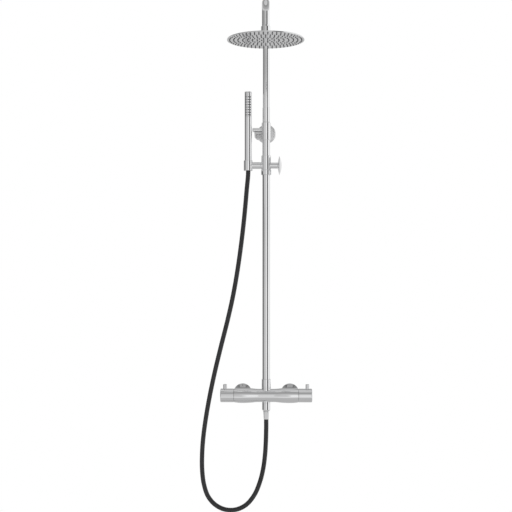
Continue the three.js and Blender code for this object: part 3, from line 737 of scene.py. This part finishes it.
knob = lathe("lock_knob_lens", [
    (5.3, 41), (5.3, 36.3), (9.6, 36.3, 0.4), (19, 38.2, 20), (28.2, 40.4), (28.9, 41, 0.3), (28.3, 41.7),
    (23, 44, 30), (16, 46.2, 30), (8, 47.6, 30), (0, 48)],
    chrome, origin=ON_PIVOT, direction=RIGHT, segments=128)
settle(knob, "lock_knob", "chrome", "slider_lock_knob")

holder = lathe("holder_ring", [
    (0, 701), (HOLDER_R, 701, 0.9), (HOLDER_R, 733, 0.9), (0, 733)], chrome, origin=ON_HANDSET)
boss = saddle(
    "holder_boss", lambda x: HOLDER_R, [(10.5, 37.7, 0.4), (6.3, 37.7), (6.3, 27), (0, 27)], 1.4, chrome,
    ON_HOLDER, RIGHT, UP)
bore = lathe("bore", [(0, 697), (9.6, 697), (11.6, 731), (11.6, 737), (0, 737)], chrome, origin=ON_HANDSET)
rear_slot = cuboid(
    "rear_slot", (HANDSET_X - 7.5, -AXIS_OUT, 697), (HANDSET_X + 7.5, -AXIS_OUT + 15, 737), chrome)
carve(holder, bore, rear_slot, ease=0.5)
settle(join(holder, boss), "holder", "chrome", "handset_holder")

# ---------------------------------------------------------------- hand shower

grip = tube("handset_tube", [
    (8.4, 731.6), (HANDSET_R, 731.6, 0.4), (HANDSET_R, 943.3, 0.3), (8.4, 943.3)],
    chrome, origin=ON_HANDSET)
window = cuboid(
    "window", (HANDSET_X - STRIP_HALF, -AXIS_OUT - 14, STRIP_LOW),
    (HANDSET_X + STRIP_HALF, -AXIS_OUT, STRIP_HIGH), chrome)
carve(grip, window, ease=0.25)
settle(grip, "handset", "chrome", "handset_body")

cap = lathe("handset_cap", [
    (0, 937), (8.1, 937), (8.1, 943.5), (HANDSET_R, 943.5, 0.3), (HANDSET_R, 947, 0.9), (0, 947)],
    chrome, origin=ON_HANDSET)
settle(cap, "handset", "chrome", "handset_end_cap")


def curved_strip():
    """The nozzle strip: a part of a pipe, a gap smaller than its slot."""
    half = math.asin((STRIP_HALF - STRIP_GAP) / STRIP_R)
    angles = np.linspace(-half, half, 25)
    points, faces = [], []
    for r in (STRIP_R, STRIP_BORE):
        for z in (STRIP_LOW + STRIP_GAP, STRIP_HIGH - STRIP_GAP):
            points += [(r * math.sin(a), -r * math.cos(a), z) for a in angles]
    n = len(angles)
    for k in range(n - 1):
        faces.append([k, k + 1, n + k + 1, n + k])
        faces.append([2 * n + k, 3 * n + k, 3 * n + k + 1, 2 * n + k + 1])
        faces.append([k, 2 * n + k, 2 * n + k + 1, k + 1])
        faces.append([n + k, n + k + 1, 3 * n + k + 1, 3 * n + k])
    faces.append([0, n, 3 * n, 2 * n])
    faces.append([n - 1, 3 * n - 1, 4 * n - 1, 2 * n - 1])
    return make("nozzle_strip", points, faces, chrome, Matrix.Translation(Vector(ON_HANDSET)))


strip = curved_strip()
HAND_NUB = [
    (2.0, -0.6), (2.0, 0.08, 0.08), (1.7, 0.22, 0.1), (1.15, 0.28), (0.85, 0.85, 0.2), (0.42, 0.85),
    (0.36, 0.2), (0, 0.2)]
NUB_SIDES = 14
HAND_ROWS, HAND_FIRST_Z, HAND_PITCH, HAND_COLUMNS = 8, 874, 8, (-36, 0, 36)
HAND_NUB_FOOT_R = 11.0


def nubs(name, spots, profile, material):
    """One mesh of many small turned nozzles, each at a place and along a direction."""
    shape, shape_faces = spin(eased(profile, steps=2), False, NUB_SIDES)
    points, faces = [], []
    for place, direction in spots:
        turn = aim(direction, place)
        base = len(points)
        points += [turn @ Vector(p) for p in shape]
        faces += [[v + base for v in face] for face in shape_faces]
    return make(name, points, faces, material)


spots = []
for row in range(HAND_ROWS):
    height = UP * (HAND_FIRST_Z + HAND_PITCH * row)
    for degrees in HAND_COLUMNS:
        a = math.radians(degrees)
        out = Vector((math.sin(a), -math.cos(a), 0))
        spots.append((Vector(ON_HANDSET) + out * HAND_NUB_FOOT_R + height, out))
hand_nozzles = nubs("hand_nozzles", spots, HAND_NUB, silicone)
settle(strip, "handset", "chrome", "handset_nozzle_strip")
settle(hand_nozzles, "handset", "silicone")

# ---------------------------------------------------------------- overhead rose

nut = tube("rose_nut", [
    (9.9, ARM_TIP - 3.3), (12.8, ARM_TIP - 3.3, 0.9), (13, BALL_Z - 5, 0.9), (7.5, BALL_Z - 5),
    (8.5, BALL_Z - 3.5), (9.3, BALL_Z - 1.5), (9.9, BALL_Z)], chrome, origin=ON_ROSE)
settle(nut, "riser_arm", "chrome", "rose_union_nut")

STUD_NECK_R, STUD_BORE = 4.6, 2.5
BALL_STEPS = 24


def ball_arc():
    """The ball's side as a profile, from the stud's neck up to the mouth of its bore."""
    neck = 180 - math.degrees(math.asin(STUD_NECK_R / BALL_R))
    crown = math.degrees(math.asin(STUD_BORE / BALL_R))
    for k in range(BALL_STEPS + 1):
        a = math.radians(neck + (crown - neck) * k / BALL_STEPS)
        yield BALL_R * math.sin(a), BALL_Z + BALL_R * math.cos(a)


stud = tube("ball_stud", [
    (STUD_BORE, ROSE_Z + 3.3), (7.5, ROSE_Z + 3.3), (7.5, ROSE_Z + 9.8, 0.4), (STUD_NECK_R, ROSE_Z + 9.8),
    *ball_arc()], chrome, origin=ON_ROSE, segments=72)
settle(stud, "rose", "chrome", "rose_ball_stud")

shell = tube("rose_shell", [
    (ROSE_R, ROSE_Z, 0.4), (ROSE_R, ROSE_Z + 2.8, 1.2), (80, ROSE_Z + 5.6, 60), (50, ROSE_Z + 7.8, 60),
    (22, ROSE_Z + 9.2, 30), (13, ROSE_Z + 9.6), (7.8, ROSE_Z + 9.6), (7.8, ROSE_Z + 4.6),
    (13, ROSE_Z + 4.6), (13.6, ROSE_Z + 7.6), (50, ROSE_Z + 6.2), (80, ROSE_Z + 4), (103.4, ROSE_Z + 1.7),
    (103.4, ROSE_Z, 0.3)], chrome, origin=ON_ROSE, segments=192)
settle(shell, "rose", "chrome", "rose_top_shell")

plate = lathe("rose_plate", [
    (0, ROSE_Z + 1.2), (103.1, ROSE_Z + 1.2), (103.1, ROSE_Z, 0.2), (102.0, ROSE_Z),
    (101.6, ROSE_Z + 0.3, 0.2), (101.2, ROSE_Z, 0.2), (0, ROSE_Z)], face, origin=ON_ROSE, segments=192)
settle(plate, "rose", "rose_face", "rose_nozzle_plate")

ROSE_NUB = [
    (2.1, -0.25), (2.1, 0.12, 0.1), (1.75, 0.3), (1.6, 0.35), (1.25, 1.8, 0.3), (0.65, 1.8), (0.55, 0.9),
    (0, 0.9)]
NOZZLE_RINGS = (11, 24, 37, 50, 63, 76, 87.5, 98.4)
NOZZLE_GAP = 12.0
spots = []
for ring, radius in enumerate(NOZZLE_RINGS):
    count = 2 * round(math.pi * radius / NOZZLE_GAP)
    for k in range(count):
        angle = 2 * math.pi * (k + 0.5 * (ring % 2)) / count
        x, y = radius * math.cos(angle), radius * math.sin(angle)
        spots.append((Vector((x, y - ROSE_OUT, ROSE_Z)), DOWN))
nozzles = nubs("rose_nozzles", spots, ROSE_NUB, grey_silicone)
settle(nozzles, "rose", "silicone")

# ---------------------------------------------------------------- floor and light

floor_material = moulded_finish("pale_floor", (0.86, 0.86, 0.86), (0.88, 0.88, 0.88), 0.7, 0.8, 300, 0.0001)
floor_glow = floor_material.node_tree.nodes["Principled BSDF"].inputs
floor_glow["Emission Color"].default_value = (1, 1, 1, 1)
floor_glow["Emission Strength"].default_value = 0.28
# A sheet below the photo's view, which glows faintly so that the metal shows no dark floor.
FLOOR_LEFT, FLOOR_RIGHT, FLOOR_FRONT, FLOOR_BACK, FLOOR_Z = -1800, 1800, -2600, 1500, -1000
floor = make("floor", [
    (FLOOR_LEFT, FLOOR_FRONT, FLOOR_Z), (FLOOR_RIGHT, FLOOR_FRONT, FLOOR_Z),
    (FLOOR_RIGHT, FLOOR_BACK, FLOOR_Z), (FLOOR_LEFT, FLOOR_BACK, FLOOR_Z)], [[0, 1, 2, 3]], floor_material)
floor.visible_glossy = False

# The world that the chrome reflects: one ramp by compass for level directions, one for slightly raised
# ones, and one by height for steep ones. The camera itself sees white.
world = bpy.data.worlds.new("studio")
bpy.context.scene.world = world
world.use_nodes = True
tree = world.node_tree
tree.nodes.clear()


def add(kind, **values):
    """A node of the world, with its settings."""
    made = tree.nodes.new(kind)
    for key, value in values.items():
        setattr(made, key, value)
    return made


def math_node(operation, value, number=None):
    """The output of a sum on a value and, unless it takes only one, a number or a second value."""
    made = add("ShaderNodeMath", operation=operation)
    tree.links.new(value, made.inputs[0])
    if isinstance(number, float):
        made.inputs[1].default_value = number
    elif number is not None:
        tree.links.new(number, made.inputs[1])
    return made.outputs[0]


def from_to(value, low, high, kind="LINEAR"):
    """The output that goes from 0 to 1 while the value goes from low to high."""
    made = add("ShaderNodeMapRange", interpolation_type=kind)
    made.inputs["From Min"].default_value = low
    made.inputs["From Max"].default_value = high
    tree.links.new(value, made.inputs["Value"])
    return made.outputs[0]


def mixed(share, first, second):
    """The colour between two colours."""
    made = add("ShaderNodeMix", data_type="RGBA")
    for value, place in ((share, 0), (first, 6), (second, 7)):
        tree.links.new(value, made.inputs[place])
    return made.outputs[2]


def grey(value):
    """The colour of a display grey from 0 to 255."""
    v = value / 255
    linear = v / 12.92 if v <= 0.04045 else ((v + 0.055) / 1.055) ** 2.4
    return linear, linear, linear, 1


def band(share, stops):
    """The colour of a ramp of display greys along a share from 0 to 1."""
    ramp = add("ShaderNodeValToRGB")
    elements = ramp.color_ramp.elements
    while len(elements) > 1:
        elements.remove(elements[0])
    elements[0].position = stops[0][0]
    elements[0].color = grey(stops[0][1])
    for position, value in stops[1:]:
        elements.new(position).color = grey(value)
    tree.links.new(share, ramp.inputs[0])
    return ramp.outputs[0]


def turned(share, stops):
    """The same with its stops in degrees: 0 is straight out into the room, +90 to the right."""
    return band(share, [((degrees + 180) / 360, value) for degrees, value in stops])


way = add("ShaderNodeTexCoord")
split = add("ShaderNodeSeparateXYZ")
tree.links.new(way.outputs["Generated"], split.inputs[0])
across, rise = split.outputs["X"], split.outputs["Z"]
forward = math_node("MULTIPLY", split.outputs["Y"], -1.0)
compass = from_to(math_node("ARCTAN2", across, forward), -math.pi, math.pi)
level_sides = turned(compass, [
    (-180, 180), (-160, 212), (-132, 160), (-114, 126), (-82, 126), (-73, 152), (-65, 202), (-40, 204),
    (-12, 210), (-2, 212), (4, 252), (20, 255), (23, 206), (27, 58), (51, 54), (56, 240), (72, 255),
    (115, 238), (168, 232), (180, 180)])
raised_sides = turned(compass, [
    (-180, 180), (-160, 212), (-132, 160), (-112, 124), (-84, 122), (-72, 160), (-40, 172), (-12, 178),
    (2, 210), (18, 214), (23, 52), (51, 38), (58, 236), (72, 255), (168, 248), (180, 180)])
sides = mixed(from_to(rise, 0.158, 0.188, "SMOOTHSTEP"), level_sides, raised_sides)
# From straight down (0) to straight up (1).
levels = band(from_to(rise, -1, 1), [
    (0.0, 186), (0.12, 190), (0.25, 192), (0.272, 236), (0.33, 238), (0.352, 208), (0.38, 207), (0.60, 206),
    (0.655, 208), (0.71, 206), (0.76, 176), (0.84, 168), (0.89, 150), (0.918, 140), (0.935, 198),
    (0.96, 210), (1.0, 202)])
steepness = math_node("ABSOLUTE", math_node("SUBTRACT", rise, 0.06))
both = mixed(from_to(steepness, 0.21, 0.33, "SMOOTHSTEP"), sides, levels)
lit = add("ShaderNodeBackground")
tree.links.new(both, lit.inputs["Color"])
white = add("ShaderNodeBackground")
white.inputs["Color"].default_value = (1, 1, 1, 1)
for background in (lit, white):
    background.inputs["Strength"].default_value = 1.0
rays = add("ShaderNodeLightPath")
choice = add("ShaderNodeMixShader")
tree.links.new(rays.outputs["Is Camera Ray"], choice.inputs[0])
tree.links.new(lit.outputs[0], choice.inputs[1])
tree.links.new(white.outputs[0], choice.inputs[2])
out = add("ShaderNodeOutputWorld")
tree.links.new(choice.outputs[0], out.inputs["Surface"])


def panel(name, place, target, size, power):
    """A rectangular light that faces its target and shows in no reflection."""
    data = bpy.data.lights.new(name, "AREA")
    data.shape = "RECTANGLE"
    data.size, data.size_y = size
    data.energy = power
    light = bpy.data.objects.new(name, data)
    light.location = place
    light.rotation_euler = (Vector(target) - Vector(place)).to_track_quat("-Z", "Y").to_euler()
    light.visible_glossy = False
    bpy.context.scene.collection.objects.link(light)


panel("key", (2.4, -2.6, 2.2), (0, -0.1, 0.4), (1.2, 2.2), 30)
panel("fill", (-2.8, -2.2, 1.2), (0, -0.1, 0.4), (1.6, 2.2), 16)

bpy.context.scene.view_settings.view_transform = "Standard"
bpy.context.scene.view_settings.look = "None"
